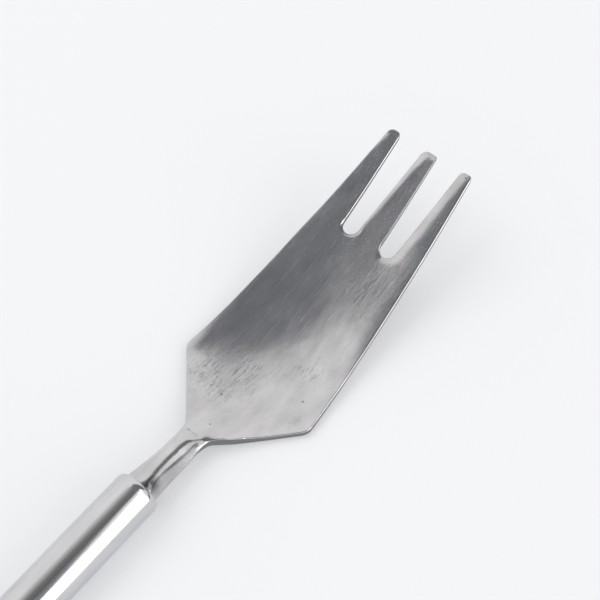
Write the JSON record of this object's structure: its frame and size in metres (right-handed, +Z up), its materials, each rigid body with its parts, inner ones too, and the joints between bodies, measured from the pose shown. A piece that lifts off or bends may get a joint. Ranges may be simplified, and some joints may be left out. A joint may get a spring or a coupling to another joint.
{
  "type": "salad fork",
  "caption": "Small table fork with a kite-shaped steel blade, long tapered tines and a round tubular handle, for eating salad and other cut food.",
  "frame": {"origin": "on the surface that the fork lies on, under the middle of its box", "axes": "+X along the handle towards the tines, +Y to the left of the blade, +Z up from the table"},
  "size_m": [0.176, 0.0266, 0.015],
  "materials": {
    "head_steel": "satin stainless steel with fine lengthwise scratches and light wear",
    "tube_steel": "polished stainless steel with faint lengthwise drawing lines",
    "cement": "matt grey cement, out of sight",
    "cap_steel": "polished stainless steel with a turned face"
  },
  "bodies": {
    "root": {"fork_head": "head_steel", "handle_tube": "tube_steel", "tang_cement": "cement", "end_cap": "cap_steel"}
  },
  "joints": []
}
